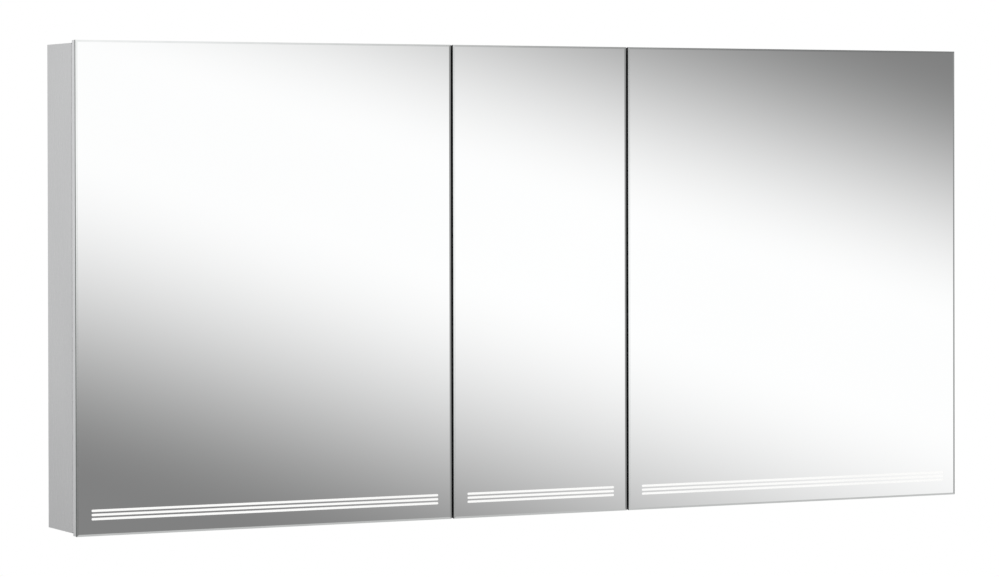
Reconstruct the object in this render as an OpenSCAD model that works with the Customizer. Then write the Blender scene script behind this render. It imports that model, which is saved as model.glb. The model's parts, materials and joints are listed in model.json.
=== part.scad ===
// Wall-hung medicine cabinet: a slim aluminium casing with three mirrored doors.
// Millimetres. The wall is the plane y = 0, the doors face -Y and +Z is up.
// The origin is the centre of the back, on the wall plane.

/* [Cabinet] */
// Overall width across the three doors
cab_w = 1500; // [1400:10:1700]
// Height of the doors
cab_h = 715; // [680:5:800]
// Overall depth from the wall to the door faces
cab_d = 120; // [118:1:150]
// Share of the width taken by each outer door
side_door_w = 600; // [520:10:600]
// Gap between neighbouring doors
door_gap = 4; // [4:0.5:5]
// How far the doors reach past the casing at top and bottom
overhang = 4; // [3:0.5:5]

/* [Doors] */
// Thickness of a door, glass to glass
door_t = 16; // [16:1:18]
// Air gap between a closed door and the casing
rest_gap = 2; // [2:0.5:3]
// Thickness of the front mirror pane
pane_t = 4; // [3:1:5]
// Thickness of the mirror on the inside of a door
inner_pane_t = 3; // [3:1:4]
// Width of the ground edge round the front pane
bevel_w = 3; // [1:0.5:4]
// Depth of the ground edge at the rim
bevel_d = 0.8; // [0.4:0.1:1.5]
// Width of the aluminium rails that frame a door
rail_w = 18; // [18:1:19]

/* [Light] */
// Height of one clear stripe in the mirror
stripe_h = 3.5; // [3:0.5:5]
// Distance from one stripe to the next
stripe_pitch = 6; // [5:0.5:6]
// Height of the lowest stripe above the bottom of the door
stripe_rise = 23; // [21:0.5:25]
// Distance from the end of a stripe to the side of the door
stripe_inset = 22.5; // [22:0.5:30]
// Number of stripes on each door
stripe_count = 3; // [1:1:3]
// Height of the light box on the floor of the casing
light_h = 30; // [28:1:34]

/* [Casing] */
// Thickness of the casing sections
wall_t = 12; // [12:1:14]
// Space between the wall and the back board
back_gap = 14; // [14:1:16]
// Thickness of the back board
board_t = 3; // [2:0.5:4]
// Thickness of the mirror inside the back
back_pane_t = 3; // [3:1:4]
// Thickness of a glass shelf
shelf_t = 5; // [4:1:8]
// Number of shelves behind each door
shelf_count = 2; // [1:1:2]

/* [Hinges] */
// Height of the outer hinges above and below the middle
hinge_rise = 250; // [230:5:270]
// Depth of the turning centre behind the inner face of a door
pivot_depth = 11; // [10.5:0.5:11]
// Distance of the turning centre from the hinged edge of a door
pivot_inset = 3; // [2.5:0.5:3]
// Radius of a hinge pin
hinge_pin_r = 1.5; // [1.5:0.1:1.6]

/* [Hidden] */
$fn = 48;

aluminium = [0.74, 0.75, 0.76];
silvered = [0.86, 0.88, 0.89];
clear_glass = [0.75, 0.88, 0.85];
opal = [0.96, 0.96, 0.93];
steel = [0.62, 0.63, 0.65];
nickel = [0.70, 0.69, 0.67];
white_board = [0.90, 0.90, 0.89];
dark_plastic = [0.15, 0.15, 0.16];
circuit_green = [0.15, 0.36, 0.24];

touch = 0.1;        // space between parts of one assembly
fit = 0.08;         // radial clearance of a running pin
section_wall = 2;   // wall of a hollow aluminium section
through = 1;        // how far a cut runs past the face it opens

// Casing planes
casing_d = cab_d - door_t - rest_gap;
casing_h = cab_h - 2 * overhang;
half_w = cab_w / 2;
half_h = casing_h / 2;
front_y = -casing_d;
board_y = -back_gap;
mirror_y = -(back_gap + board_t);
inside_y = mirror_y - back_pane_t;
floor_z = -half_h + wall_t;
ceiling_z = half_h - wall_t;
split_x = half_w - side_door_w;
groove_t = 4;       // depth of the groove that holds the back board

// Hollow chambers of the casing section, as [rear y, front y]
mid_rib_y = -(back_gap + board_t + casing_d) / 2;
chambers = [
    [-section_wall, board_y + 3],
    [mirror_y - 4, mid_rib_y + 1],
    [mid_rib_y - 1, front_y + section_wall]
];
key_leg = 45;       // length of each leg of a corner key

// Bays between the casing walls, as [low x, high x]
bays = [
    [-half_w + wall_t, -split_x - wall_t / 2],
    [-split_x + wall_t / 2, split_x - wall_t / 2],
    [split_x + wall_t / 2, half_w - wall_t]
];

bay_gap = 0.5;      // space round the parts that line a bay

// Doors, as [low x, high x]
doors = [
    [-half_w, -split_x - door_gap / 2],
    [-split_x + door_gap / 2, split_x - door_gap / 2],
    [split_x + door_gap / 2, half_w]
];
door_back_y = front_y - rest_gap;
door_front_y = -cab_d;
pane_back_y = door_front_y + pane_t;
core_back_y = door_back_y - inner_pane_t;
door_half_h = cab_h / 2;
light_top_z = floor_z + light_h - 2;
edge_step = 0.3;    // how far the frame sits inside the pane
frame_lip = 2;      // rim of the frame round the inner mirror
core_low_z = light_top_z + 1;

// Hinges, in a frame at the hinged edge of the door on the casing's front plane
turn = [pivot_inset, -rest_gap - pivot_depth];
arm_pivot = [20, 6];
cup_pivot = [26, -rest_gap - 5];
crank_vector = cup_pivot - turn;
elbow = arm_pivot + crank_vector;
plate_top = 15;     // height of the mounting plate above the door's edge line
arm_half = 4.5;     // half height of the arm's nose
crank_gap = 5;      // half space between the two cheeks of a crank
cheek_t = 2;
eye_r = 4;
cup_r = 17.5;
cup_x = 22.5;       // cup centre from the edge of the door
cup_depth = pivot_depth;
flange_margin = 4.5; // how far the cup's flange reaches past the cup
plate_y = [18, 62]; // front and rear of the mounting plate
wing_t = 3;         // thickness of the plate's wings
plate_screw_y = 37;
plate_screw_z = 16;
plate_screw_r = 1.9;

// Hinge heights for the left, middle and right door
hinge_heights = [
    [-hinge_rise, 0, hinge_rise],
    [-hinge_rise, hinge_rise],
    [-hinge_rise, 0, hinge_rise]
];
// Height of the wall that a hinge plate stands on, from the door's edge line
hinge_walls = [wall_t, (wall_t - door_gap) / 2, wall_t];

// Shelves
shelf_gap = 2.5;
shelf_pin_r = 2.5;
shelf_pin_in = 5;
shelf_pin_out = 9;
shelf_back_y = inside_y - 2;
shelf_front_y = front_y + 14;
shelf_pin_ys = [shelf_back_y - 16, shelf_front_y + 12];
shelf_zs = [for (i = [1 : shelf_count])
    light_top_z + i * (ceiling_z - light_top_z) / (shelf_count + 1)];

// Casing screws, near the rear and the front edge of each partition
screw_ys = [mirror_y - 9, front_y + 12];
screw_r = 2;
screw_h = wall_t + 18;
screw_head_h = 2.2;

// Wall fixings
fix_x = 500;
rail_hole_z = half_h - 48.5;
rail_low_z = rail_hole_z - 15;
rail_high_z = rail_hole_z + 21;
rail_t = 2.5;
rail_hook_y = -8.5;  // front of the hook along the rail
rail_lip_z = rail_hole_z + 30;
rail_half = 650;
tab_hole_z = floor_z + 18;
tab_h = 40;
tab_half = 20;
fix_hole_r = 2.75;
hanger_x = 580;
hanger_half = 30;
hanger_t = 2.5;
hanger_screw_dx = 18;
hanger_screw_r = 2;
access_r = 6;
brace_z = [floor_z + tab_h + 1.5, rail_low_z - 23];

// Light box contents
lens_t = 3;
cover_t = 2;
carrier_y = -70;
carrier_t = 2;
wire_y = -36;
wire_z = floor_z + 8;
wire_r = 1.6;
driver_x = [split_x + 40, split_x + 220];
driver_y = [-64, -28];
driver_h = 22;
shell_t = 1.5;
terminal_x = [driver_x[1] + 20, driver_x[1] + 60];
terminal_y = [-56, -34];
gland_x = terminal_x[1] + 20;
gland_z = floor_z + 14;
gland_r = 8;
gland_bore_r = 4;
gland_nut_r = 12;
gland_y = [-32, -10];

// Push button under the casing
switch_x = gland_x + 80;
switch_y = -50;
button_r = 7;
button_out = 2.5;
button_head_h = 8;
stem_r = 2.5;
stem_h = 10;

// ---- shared shapes ----

module block(low, high) {
    translate(low) cube(high - low);
}

module rod(from, length, r, axis) {
    translate(from)
        rotate(axis == "x" ? [0, 90, 0] : axis == "y" ? [-90, 0, 0] : [0, 0, 0])
            cylinder(h = length, r = r);
}

// A bar along z with its profile's outer face on x = 0 and both ends mitred.
module mitred_bar(length, width, low_y, high_y) {
    intersection() {
        linear_extrude(height = length, center = true)
            children();
        translate([0, high_y + 1, 0])
            rotate([90, 0, 0])
                linear_extrude(height = high_y - low_y + 2)
                    polygon([
                        [0, -length / 2], [width, width - length / 2],
                        [width, length / 2 - width], [0, length / 2]
                    ]);
    }
}

// Flat bar with round ends between two points
module strap(a, b, r_end, r_bar) {
    d = b - a;
    translate(a)
        circle(r = r_end);
    translate(b)
        circle(r = r_end);
    translate(a)
        rotate(atan2(d[1], d[0]))
            translate([0, -r_bar])
                square([norm(d), 2 * r_bar]);
}

// Places hinge parts of one door: the left and middle door hinge on their left
// edge and the right door on its right edge.
module at_hinges(door) {
    for (z = hinge_heights[door])
        if (door == 2)
            translate([doors[door][1], front_y, z]) mirror([1, 0, 0]) children();
        else
            translate([doors[door][0], front_y, z]) children();
}

// ---- casing ----

module casing_section() {
    difference() {
        translate([0, front_y])
            square([wall_t, casing_d]);
        for (c = chambers)
            translate([section_wall, c[1]])
                square([wall_t - 2 * section_wall, c[0] - c[1]]);
        translate([wall_t - groove_t, mirror_y - touch])
            square([groove_t + 1, board_t + 2 * touch]);
    }
}

module casing_bar(length) {
    mitred_bar(length, wall_t, front_y, 0)
        casing_section();
}

module hinge_screw_cuts(door) {
    depth = 8;
    at_hinges(door)
        translate([hinge_walls[door] - depth, 0, 0])
            for (s = [-1, 1])
                rod([0, plate_screw_y, s * plate_screw_z], depth + 2, plate_screw_r + touch, "x");
}

module shelf_pin_cuts() {
    for (bay = bays)
        for (z = shelf_zs)
            for (y = shelf_pin_ys) {
                rod([bay[0] - shelf_pin_in, y, z], shelf_pin_in + through, shelf_pin_r, "x");
                rod([bay[1] - through, y, z], shelf_pin_in + through, shelf_pin_r, "x");
            }
}

// The screws that hold the partitions, through the top and the bottom
module partition_screws(r, head_r) {
    for (sx = [-1, 1])
        for (y = screw_ys)
            for (sz = [-1, 1])
                translate([sx * split_x, y, sz * half_h])
                    mirror([0, 0, sz > 0 ? 1 : 0]) {
                        cylinder(h = screw_h, r = r);
                        cylinder(h = screw_head_h, r1 = head_r, r2 = r);
                    }
}

module switch_hole() {
    rod([switch_x, switch_y, -half_h - 1], wall_t + 2, button_r + 2 + touch, "z");
}

module casing_left() {
    color(aluminium)
        difference() {
            translate([-half_w, 0, 0]) casing_bar(casing_h);
            shelf_pin_cuts();
            hinge_screw_cuts(0);
        }
}

module casing_right() {
    color(aluminium)
        difference() {
            translate([half_w, 0, 0]) mirror([1, 0, 0]) casing_bar(casing_h);
            shelf_pin_cuts();
            hinge_screw_cuts(2);
        }
}

module casing_top() {
    color(aluminium)
        difference() {
            translate([0, 0, half_h]) rotate([0, 90, 0]) casing_bar(cab_w);
            partition_screws(screw_r + touch, 2 * screw_r + 2 * touch);
        }
}

module casing_bottom() {
    color(aluminium)
        difference() {
            translate([0, 0, -half_h]) rotate([0, -90, 0]) casing_bar(cab_w);
            partition_screws(screw_r + touch, 2 * screw_r + 2 * touch);
            switch_hole();
        }
}

module partition(sx) {
    solid_half = 5; // half width of the solid web that takes the rear screws
    color(aluminium)
        difference() {
            block([sx * split_x - wall_t / 2, front_y, floor_z],
                  [sx * split_x + wall_t / 2, mirror_y - touch, ceiling_z]);
            for (c = [[screw_ys[0] - solid_half, screw_ys[1] + solid_half],
                      [screw_ys[1] - solid_half, front_y + section_wall]])
                block([sx * split_x - wall_t / 2 + section_wall, c[1], floor_z - through],
                      [sx * split_x + wall_t / 2 - section_wall, c[0], ceiling_z + through]);
            partition_screws(screw_r + touch, screw_r);
            shelf_pin_cuts();
            hinge_screw_cuts(1);
            rod([sx * split_x - wall_t, wire_y, wire_z], 2 * wall_t, wire_r + 1, "x");
        }
}

module left_partition() {
    partition(-1);
}

module right_partition() {
    partition(1);
}

module corner_keys() {
    slack = 0.3;
    key_gap = section_wall + slack;
    color(steel)
        for (c = [chambers[1], chambers[2]])
            for (sx = [0, 1])
                for (sz = [0, 1])
                    mirror([sx, 0, 0])
                        mirror([0, 0, sz]) {
                            block([-half_w + key_gap, c[1] + slack, half_h - key_leg],
                                  [-half_w + wall_t - key_gap, c[0] - slack, half_h - key_gap]);
                            block([-half_w + key_gap, c[1] + slack, half_h - wall_t + key_gap],
                                  [-half_w + key_leg, c[0] - slack, half_h - key_gap]);
                        }
}

module casing_screws() {
    socket_r = 1.3;
    socket_h = 1.2;
    color(steel)
        difference() {
            partition_screws(screw_r, 2 * screw_r + touch);
            for (sx = [-1, 1])
                for (y = screw_ys)
                    for (sz = [-1, 1])
                        translate([sx * split_x, y, sz * half_h])
                            cylinder(h = 2 * socket_h, r = socket_r, center = true, $fn = 6);
        }
}

// ---- back and wall fixing ----

module gland_hole(y0, y1) {
    rod([gland_x, y0, gland_z], y1 - y0, gland_r + touch, "y");
}

module access_holes(y0, y1) {
    for (sx = [-1, 1])
        rod([sx * fix_x, y0, tab_hole_z], y1 - y0, access_r, "y");
}

module hanger_screw_holes(r) {
    for (sx = [-1, 1])
        for (dx = [-hanger_screw_dx, hanger_screw_dx])
            rod([sx * hanger_x + dx, mirror_y - through, rail_hole_z], back_gap, r, "y");
}

module back_board() {
    color(white_board)
        difference() {
            block([-half_w + wall_t - groove_t + touch, mirror_y, -half_h + wall_t - groove_t + touch],
                  [half_w - wall_t + groove_t - touch, board_y, half_h - wall_t + groove_t - touch]);
            gland_hole(mirror_y - through, board_y + through);
            access_holes(mirror_y - through, board_y + through);
            hanger_screw_holes(hanger_screw_r + touch);
        }
}

// Hat section behind the middle of the back board, its crown on the wall
module back_brace() {
    crown = 20;
    foot = 32;
    skin = 1.5;
    color(aluminium)
        translate([0, 0, brace_z[0]])
            linear_extrude(height = brace_z[1] - brace_z[0])
                polygon([
                    [-foot, board_y], [-foot, board_y + skin], [-crown, board_y + skin], [-crown, 0],
                    [crown, 0], [crown, board_y + skin], [foot, board_y + skin], [foot, board_y],
                    [crown - skin, board_y], [crown - skin, -skin], [skin - crown, -skin],
                    [skin - crown, board_y]
                ]);
}

module back_mirror(bay) {
    block([bay[0] + bay_gap, inside_y, light_top_z + cover_t + touch],
          [bay[1] - bay_gap, mirror_y - touch, ceiling_z - bay_gap]);
}

module side_back_mirrors() {
    color(silvered) {
        back_mirror(bays[0]);
        back_mirror(bays[2]);
    }
}

module middle_back_mirror() {
    color(silvered)
        back_mirror(bays[1]);
}

module wall_rail() {
    color(steel)
        difference() {
            union() {
                block([-rail_half, -rail_t, rail_low_z], [rail_half, 0, rail_high_z]);
                block([-rail_half, rail_hook_y, rail_high_z - 4], [rail_half, 0, rail_high_z - 2]);
                block([-rail_half, rail_hook_y, rail_high_z - 4],
                      [rail_half, rail_hook_y + 2, rail_lip_z - touch]);
            }
            for (sx = [-1, 1])
                rod([sx * fix_x, -rail_t - through, rail_hole_z], rail_t + 2 * through, fix_hole_r, "y");
        }
}

// Hooks on the back board that hang over the lip of the wall rail
module hangers() {
    top_z = rail_lip_z + 3;
    hook_y = -3;
    hook_t = 2.6;
    color(steel)
        difference() {
            for (sx = [-1, 1]) {
                x0 = sx * hanger_x - hanger_half;
                x1 = sx * hanger_x + hanger_half;
                block([x0, board_y + touch, rail_low_z - 5], [x1, board_y + hanger_t, top_z]);
                block([x0, board_y + touch, rail_lip_z], [x1, hook_y, top_z]);
                block([x0, hook_y - hook_t, rail_lip_z - 8], [x1, hook_y, top_z]);
            }
            hanger_screw_holes(hanger_screw_r + touch);
        }
}

module hanger_screws() {
    head_r = 3.8;
    head_h = 2;
    socket_r = 1.6;
    head_y = board_y + hanger_t + touch;
    color(steel)
        for (sx = [-1, 1])
            for (dx = [-hanger_screw_dx, hanger_screw_dx]) {
                rod([sx * hanger_x + dx, mirror_y + touch, rail_hole_z], board_t + 3, hanger_screw_r, "y");
                difference() {
                    rod([sx * hanger_x + dx, head_y, rail_hole_z], head_h, head_r, "y");
                    translate([sx * hanger_x + dx, head_y + head_h, rail_hole_z])
                        rotate([90, 0, 0])
                            cylinder(h = head_h, r = socket_r, center = true, $fn = 6);
                }
            }
}

// Angles on the casing floor that take the lower wall screws
module wall_tabs() {
    foot_y = -12;
    color(steel)
        difference() {
            for (sx = [-1, 1]) {
                x0 = sx * fix_x - tab_half;
                x1 = sx * fix_x + tab_half;
                block([x0, -rail_t, floor_z + touch], [x1, 0, floor_z + tab_h]);
                block([x0, foot_y, floor_z + touch], [x1, 0, floor_z + rail_t]);
            }
            for (sx = [-1, 1])
                rod([sx * fix_x, -rail_t - through, tab_hole_z], rail_t + 2 * through, fix_hole_r, "y");
        }
}

// ---- inside ----

module shelf(bay, z) {
    block([bay[0] + shelf_gap, shelf_front_y, z + shelf_pin_r],
          [bay[1] - shelf_gap, shelf_back_y, z + shelf_pin_r + shelf_t]);
}

module side_shelves() {
    color(clear_glass)
        for (z = shelf_zs) {
            shelf(bays[0], z);
            shelf(bays[2], z);
        }
}

module middle_shelves() {
    color(clear_glass)
        for (z = shelf_zs)
            shelf(bays[1], z);
}

// One support pin, pointing along +x from the face of a casing wall
module shelf_pin() {
    collar_t = 1.6;
    collar_r = 4;
    rod([-shelf_pin_in, 0, 0], shelf_pin_in + shelf_pin_out, shelf_pin_r - fit, "x");
    rod([touch, 0, 0], collar_t, collar_r, "x");
}

module shelf_pins() {
    color(nickel)
        for (bay = bays)
            for (z = shelf_zs)
                for (y = shelf_pin_ys) {
                    translate([bay[0], y, z]) shelf_pin();
                    translate([bay[1], y, z]) mirror([1, 0, 0]) shelf_pin();
                }
}

module door_bumpers() {
    bumper_z = half_h - wall_t / 2;
    bumper_r = 4.5;
    bumper_h = rest_gap - 0.3;
    from_edge = 40;
    color(clear_glass)
        for (x = [doors[0][1] - from_edge, doors[1][1] - from_edge, doors[2][0] + from_edge])
            for (sz = [-1, 1])
                rod([x, front_y - bumper_h, sz * bumper_z], bumper_h, bumper_r, "y");
}

// Lid and rear wall over the light box of one bay
module light_cover(bay) {
    cover_front_y = front_y + bay_gap;
    x0 = bay[0] + bay_gap;
    x1 = bay[1] - bay_gap;
    rear_y = inside_y - bay_gap;
    block([x0, cover_front_y, light_top_z], [x1, rear_y, light_top_z + cover_t]);
    block([x0, rear_y - cover_t, floor_z + touch], [x1, rear_y, light_top_z + cover_t]);
}

module light_covers() {
    color(aluminium)
        difference() {
            for (bay = bays)
                light_cover(bay);
            gland_hole(inside_y - 2 * cover_t, inside_y + through);
            access_holes(inside_y - 2 * cover_t, inside_y + through);
        }
}

module light_lenses() {
    color(opal)
        for (bay = bays)
            block([bay[0] + bay_gap, front_y + bay_gap, floor_z + touch],
                  [bay[1] - bay_gap, front_y + bay_gap + lens_t, light_top_z - touch]);
}

module led_carriers() {
    inset = 20;
    foot = 14;
    color(aluminium)
        for (bay = bays) {
            x0 = bay[0] + inset;
            x1 = bay[1] - inset;
            block([x0, carrier_y - carrier_t, floor_z + touch], [x1, carrier_y, floor_z + 22]);
            block([x0, carrier_y - foot, floor_z + touch], [x1, carrier_y, floor_z + carrier_t]);
        }
}

module led_boards() {
    inset = 24;
    board_y0 = carrier_y - carrier_t - touch;
    circuit_t = 1.5;
    chip = 3.5;
    chip_pitch = 16;
    first_chip = 4;
    color(circuit_green)
        for (bay = bays) {
            x0 = bay[0] + inset;
            x1 = bay[1] - inset;
            chips = floor((x1 - x0 - 2 * first_chip) / chip_pitch);
            block([x0, board_y0 - circuit_t, floor_z + 6], [x1, board_y0, floor_z + 20]);
            for (i = [0 : chips])
                translate([x0 + first_chip + i * chip_pitch, board_y0 - circuit_t - 0.8, floor_z + 11])
                    cube([chip, 1, chip]);
        }
}

module driver_case() {
    z0 = floor_z + touch;
    color(white_board)
        difference() {
            block([driver_x[0], driver_y[0], z0], [driver_x[1], driver_y[1], z0 + driver_h - shell_t]);
            block([driver_x[0] + shell_t, driver_y[0] + shell_t, z0 + shell_t],
                  [driver_x[1] - shell_t, driver_y[1] - shell_t, z0 + driver_h]);
            rod([driver_x[0] - through, wire_y, wire_z], shell_t + 2 * through, wire_r + touch, "x");
        }
}

module driver_lid() {
    z1 = floor_z + touch + driver_h;
    lid_gap = 0.02;
    color(white_board)
        block([driver_x[0], driver_y[0], z1 - shell_t + lid_gap], [driver_x[1], driver_y[1], z1]);
}

// Circuit board with a transformer, two capacitors and a coil
module driver_board() {
    z0 = floor_z + 5;
    circuit_t = 1.6;
    margin = 3;
    middle_y = (driver_y[0] + driver_y[1]) / 2;
    color(circuit_green) {
        block([driver_x[0] + margin + 2, driver_y[0] + margin, z0],
              [driver_x[1] - margin, driver_y[1] - margin, z0 + circuit_t]);
        translate([driver_x[0] + 40, middle_y - 10, z0]) cube([24, 20, 13]);
        for (x = [90, 110])
            rod([driver_x[0] + x, middle_y, z0], 13, 6, "z");
        translate([driver_x[0] + 130, middle_y - 8, z0]) cube([20, 16, 9]);
    }
}

// Mains terminals, in two rows of three
module terminal_block() {
    block_h = 16;
    pitch = 10;
    clamp_r = 2.2;
    clamp_h = 5;
    middle_y = (terminal_y[0] + terminal_y[1]) / 2;
    color(white_board)
        difference() {
            block([terminal_x[0], terminal_y[0], floor_z + touch],
                  [terminal_x[1], terminal_y[1], floor_z + block_h]);
            for (i = [1 : 3])
                for (s = [-0.5, 0.5])
                    rod([terminal_x[0] + i * pitch, middle_y + s * pitch, floor_z + block_h - clamp_h],
                        clamp_h + through, clamp_r, "z");
        }
}

// Threaded body through the back board and the light cover, a nut at each end
module cable_gland() {
    rear_nut_h = 5;
    front_nut_h = 4;
    color(dark_plastic)
        difference() {
            union() {
                rod([gland_x, gland_y[0], gland_z], gland_y[1] - gland_y[0], gland_r, "y");
                translate([gland_x, board_y + touch, gland_z])
                    rotate([-90, 0, 0]) cylinder(h = rear_nut_h, r = gland_nut_r, $fn = 6);
                translate([gland_x, inside_y - bay_gap - cover_t - touch, gland_z])
                    rotate([90, 0, 0]) cylinder(h = front_nut_h, r = gland_nut_r, $fn = 6);
            }
            rod([gland_x, gland_y[0] - through, gland_z], gland_y[1] - gland_y[0] + 10, gland_bore_r, "y");
        }
}

// Low-voltage feed along the light box with a branch to each lamp, and the
// leads from the driver to the terminals and on to the push button
module wiring() {
    branch_in = 40;
    feed_x = bays[0][0] + branch_in;
    housing_x = switch_x - button_r - 2;
    color(dark_plastic) {
        rod([feed_x, wire_y, wire_z], driver_x[0] - feed_x + shell_t - 0.3, wire_r, "x");
        for (x = [feed_x, bays[1][0] + branch_in, bays[2][0] + branch_in - 12])
            rod([x, carrier_y + touch, wire_z], wire_y - carrier_y - touch, wire_r, "y");
        rod([driver_x[1] + touch, switch_y, wire_z], terminal_x[0] - driver_x[1] - 2 * touch, wire_r, "x");
        rod([terminal_x[1] + touch, switch_y, wire_z],
            housing_x - terminal_x[1] - 2 * touch, wire_r, "x");
    }
}

// ---- switch under the casing ----

module switch_housing() {
    bezel_h = 1.2;
    color(nickel)
        difference() {
            union() {
                rod([switch_x, switch_y, -half_h - touch], wall_t + 14, button_r + 2, "z");
                rod([switch_x, switch_y, -half_h - bezel_h - touch], bezel_h, button_r + 4, "z");
            }
            rod([switch_x, switch_y, -half_h - 3], 3 + button_head_h + 2, button_r + fit, "z");
            rod([switch_x, switch_y, -half_h], wall_t + 11, stem_r + fit, "z");
        }
}

module switch_button() {
    color(white_board)
        translate([switch_x, switch_y, -half_h - button_out]) {
            cylinder(h = button_head_h, r = button_r);
            cylinder(h = button_head_h + stem_h, r = stem_r);
        }
}

// ---- doors ----

// Front pane: full size at the back, with a ground edge round the front
module pane_blank(x0, x1) {
    h = door_half_h;
    bevel_y = door_front_y + bevel_d;
    intersection() {
        translate([0, 0, -h])
            linear_extrude(height = 2 * h)
                polygon([
                    [x0, pane_back_y], [x0, bevel_y], [x0 + bevel_w, door_front_y],
                    [x1 - bevel_w, door_front_y], [x1, bevel_y], [x1, pane_back_y]
                ]);
        translate([x0, 0, 0])
            rotate([90, 0, 90])
                linear_extrude(height = x1 - x0)
                    polygon([
                        [pane_back_y, -h], [bevel_y, -h], [door_front_y, bevel_w - h],
                        [door_front_y, h - bevel_w], [bevel_y, h], [pane_back_y, h]
                    ]);
    }
}

// The silvering is blasted off the back of the pane in stripes, a little into the glass
module door_mirror(door) {
    blast_d = 0.3;
    x0 = doors[door][0];
    x1 = doors[door][1];
    color(silvered)
        difference() {
            pane_blank(x0, x1);
            for (i = [0 : stripe_count - 1])
                translate([0, 0, stripe_rise + i * stripe_pitch - door_half_h])
                    block([x0 + stripe_inset, pane_back_y - blast_d, 0],
                          [x1 - stripe_inset, pane_back_y + through, stripe_h]);
        }
}

// Hollow rail with a rebate for the inner mirror; x = 0 is the door's edge
module door_section() {
    glue = 0.05;
    difference() {
        translate([0, pane_back_y + glue])
            square([rail_w, door_back_y - pane_back_y - glue]);
        translate([frame_lip, core_back_y - touch])
            square([rail_w, inner_pane_t + through]);
        translate([frame_lip + section_wall, pane_back_y + section_wall])
            square([rail_w - frame_lip - 2 * section_wall, core_back_y - pane_back_y - 2 * section_wall]);
    }
}

module door_rail(length) {
    mitred_bar(length, rail_w, pane_back_y, door_back_y)
        door_section();
}

module cup_cuts(door) {
    at_hinges(door)
        rod([cup_x, -rest_gap - cup_depth - touch, 0], cup_depth + through, cup_r + touch, "y");
}

module door_frame(door) {
    x0 = doors[door][0] + edge_step;
    x1 = doors[door][1] - edge_step;
    h = door_half_h - edge_step;
    color(aluminium)
        difference() {
            union() {
                translate([x0, 0, 0]) door_rail(2 * h);
                translate([x1, 0, 0]) mirror([1, 0, 0]) door_rail(2 * h);
                translate([(x0 + x1) / 2, 0, h]) rotate([0, 90, 0]) door_rail(x1 - x0);
                translate([(x0 + x1) / 2, 0, -h]) rotate([0, -90, 0]) door_rail(x1 - x0);
            }
            cup_cuts(door);
        }
}

module door_core(door) {
    inset = edge_step + rail_w + touch;
    color(white_board)
        difference() {
            block([doors[door][0] + inset, pane_back_y + touch, core_low_z + touch],
                  [doors[door][1] - inset, core_back_y - touch, door_half_h - inset]);
            cup_cuts(door);
        }
}

module door_inner_mirror(door) {
    inset = edge_step + frame_lip + touch;
    notch = 1.5;
    color(silvered)
        difference() {
            block([doors[door][0] + inset, core_back_y, core_low_z + touch],
                  [doors[door][1] - inset, door_back_y, door_half_h - inset]);
            at_hinges(door)
                block([-through, -rest_gap - inner_pane_t - through, -cup_r - notch],
                      [cup_x + cup_r + notch, 0, cup_r + notch]);
        }
}

// White channel behind the clear stripes, open towards the lamp in the casing
module door_light_box(door) {
    inset = edge_step + rail_w + touch;
    web_t = 3;
    flange_t = 2;
    x0 = doors[door][0] + inset;
    x1 = doors[door][1] - inset;
    z0 = -door_half_h + inset;
    color(opal) {
        block([x0, pane_back_y + touch, z0], [x1, pane_back_y + web_t, core_low_z]);
        for (z = [z0, core_low_z - flange_t])
            block([x0, pane_back_y + touch, z], [x1, door_back_y - bay_gap, z + flange_t]);
    }
}

// ---- hinges, drawn in the hinge frame ----

module hinge_plate(wall_x) {
    rib_half = 8;
    wing_half = 22;
    difference() {
        union() {
            block([wall_x + touch, plate_y[0], -rib_half], [plate_top, plate_y[1], rib_half]);
            block([wall_x + touch, plate_screw_y - rib_half, -wing_half],
                  [wall_x + wing_t, plate_screw_y + rib_half, wing_half]);
        }
        for (s = [-1, 1])
            rod([wall_x - through, plate_screw_y, s * plate_screw_z], plate_top, plate_screw_r + touch, "x");
    }
}

module hinge_plates() {
    color(nickel)
        for (door = [0 : 2])
            at_hinges(door) hinge_plate(hinge_walls[door]);
}

module hinge_plate_screws() {
    shank_in = 7;
    head_h = 2;
    head_r = 3.6;
    color(nickel)
        for (door = [0 : 2])
            at_hinges(door)
                for (s = [-1, 1]) {
                    rod([hinge_walls[door] - shank_in, plate_screw_y, s * plate_screw_z],
                        shank_in + wing_t + 1, plate_screw_r, "x");
                    rod([hinge_walls[door] + wing_t + touch, plate_screw_y, s * plate_screw_z],
                        head_h, head_r, "x");
                }
}

// Arm clipped on the mounting plate, with a nose that carries the crank's pin
module hinge_arm() {
    nose_r = 5;
    nose_w = 10;
    body_y = 15;
    body_half = 7;
    body_t = 8;
    screw_in = 4;
    difference() {
        union() {
            translate([0, 0, -arm_half])
                linear_extrude(height = 2 * arm_half)
                    difference() {
                        union() {
                            translate(arm_pivot) circle(r = nose_r);
                            translate([plate_top + touch, arm_pivot[1]]) square([nose_w - touch, 14]);
                        }
                        translate(arm_pivot) circle(r = hinge_pin_r);
                    }
            block([plate_top + touch, body_y, -body_half], [plate_top + body_t, plate_y[1], body_half]);
        }
        for (screw = [[28, 2.5], [48, 3.2]])
            rod([plate_top + body_t - screw_in, screw[0], 0], screw_in + 2, screw[1], "x");
    }
}

module hinge_arms() {
    color(nickel)
        for (door = [0 : 2])
            at_hinges(door) hinge_arm();
}

module hinge_arm_pins() {
    pin_half = crank_gap + cheek_t + 0.8;
    color(steel)
        for (door = [0 : 2])
            at_hinges(door)
                translate([arm_pivot[0], arm_pivot[1], -pin_half])
                    cylinder(h = 2 * pin_half, r = hinge_pin_r);
}

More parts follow.
